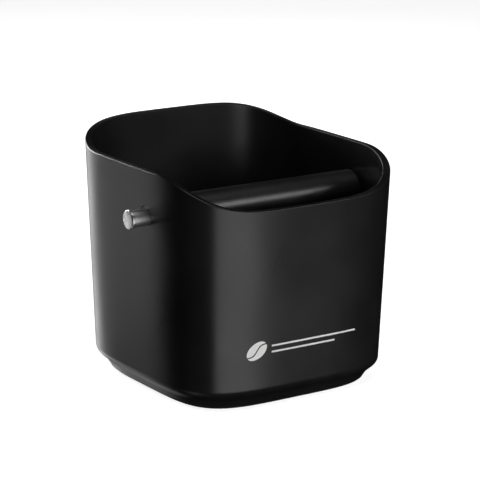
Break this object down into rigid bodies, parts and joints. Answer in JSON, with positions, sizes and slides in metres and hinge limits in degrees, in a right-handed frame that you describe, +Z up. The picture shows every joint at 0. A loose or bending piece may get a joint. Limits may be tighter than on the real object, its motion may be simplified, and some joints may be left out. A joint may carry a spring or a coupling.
{
  "type": "espresso knock box",
  "caption": "Square open box with a low front rim, for knocking spent coffee out of a portafilter on a rubber bar that turns on a pull-out steel rod.",
  "frame": {"origin": "on the table, under the middle of the box, at the centre of the base pad's underside", "axes": "+X along the bar to the right, away from the rod's head; -Y is the low front; +Z up out of the open top"},
  "size_m": [0.1523, 0.1418, 0.1385],
  "materials": {
    "box_plastic": "black moulded plastic with a very fine satin grain",
    "base_rubber": "matt black non-slip rubber",
    "bush_plastic": "black nylon",
    "rod_steel": "stainless steel, drawn along its length",
    "head_steel": "stainless steel, faced on a lathe",
    "ring_rubber": "black nitrile rubber",
    "core_plastic": "stiff dark plastic tube",
    "sleeve_rubber": "satin black silicone rubber",
    "plug_plastic": "black acetal"
  },
  "bodies": {
    "box": {"body_shell": "box_plastic", "base_pad": "base_rubber", "left_bush": "bush_plastic", "right_bush": "bush_plastic"},
    "rod": {"pull_rod": "rod_steel", "rod_head": "head_steel", "left_o_ring": "ring_rubber", "right_o_ring": "ring_rubber"},
    "bar": {"bar_core": "core_plastic", "bar_sleeve": "sleeve_rubber", "left_bar_plug": "plug_plastic", "right_bar_plug": "plug_plastic"}
  },
  "joints": [
    {"name": "rod_pull", "type": "slide", "parent": "box", "child": "rod", "axis": [-1, 0, 0], "range_m": [0, 0.1365]},
    {"name": "bar_spin", "type": "hinge", "parent": "box", "child": "bar", "pos_m": [0, -0.0183, 0.1015], "axis": [1, 0, 0], "continuous": true}
  ]
}
